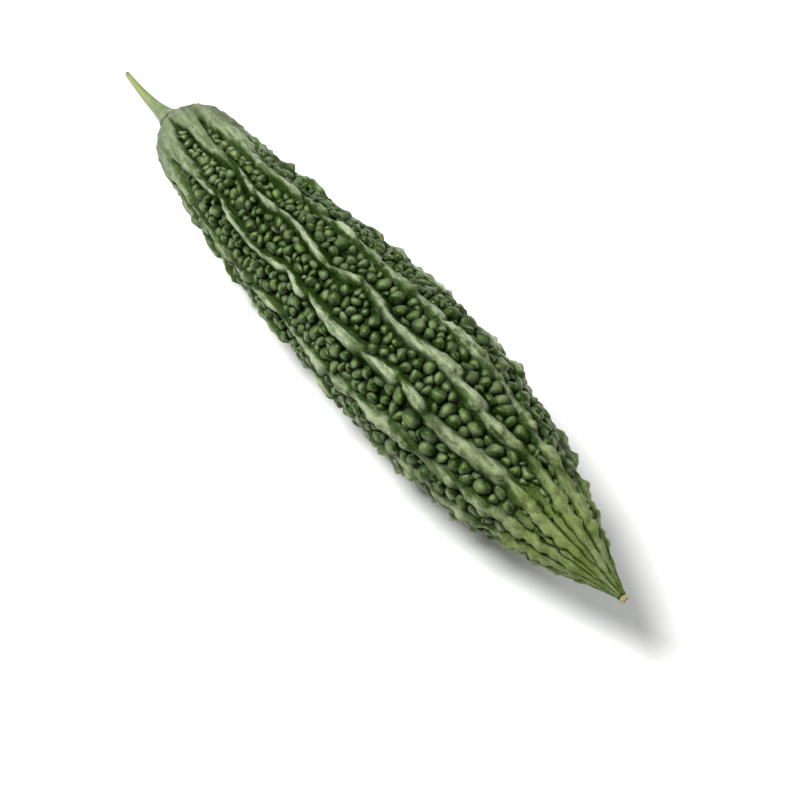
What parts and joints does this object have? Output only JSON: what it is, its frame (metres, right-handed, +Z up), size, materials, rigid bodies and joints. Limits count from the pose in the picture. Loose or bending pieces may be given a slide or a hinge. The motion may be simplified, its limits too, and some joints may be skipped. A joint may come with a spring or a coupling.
{
  "type": "bitter gourd",
  "caption": "Fresh bitter gourd with ribbed, warty green skin, a slender stem and a dried blossom end, lying on its side as picked.",
  "frame": {"origin": "On the surface that the gourd rests on, under the middle of its bounding box.", "axes": "+X runs along the gourd from the stem to the blossom end, +Z is up, +Y completes the right-handed frame."},
  "size_m": [0.2832, 0.05, 0.0485],
  "materials": {
    "gourd_skin": "waxy warty vegetable skin, dark green in the furrows, paler bloom on the ribs and warts",
    "green_stem": "pale yellow-green, fine lengthwise fibres",
    "dried_blossom": "dry tan and brown, ragged"
  },
  "bodies": {
    "root": {"fruit": "gourd_skin", "stem": "green_stem", "blossom_scar": "dried_blossom"}
  },
  "joints": []
}
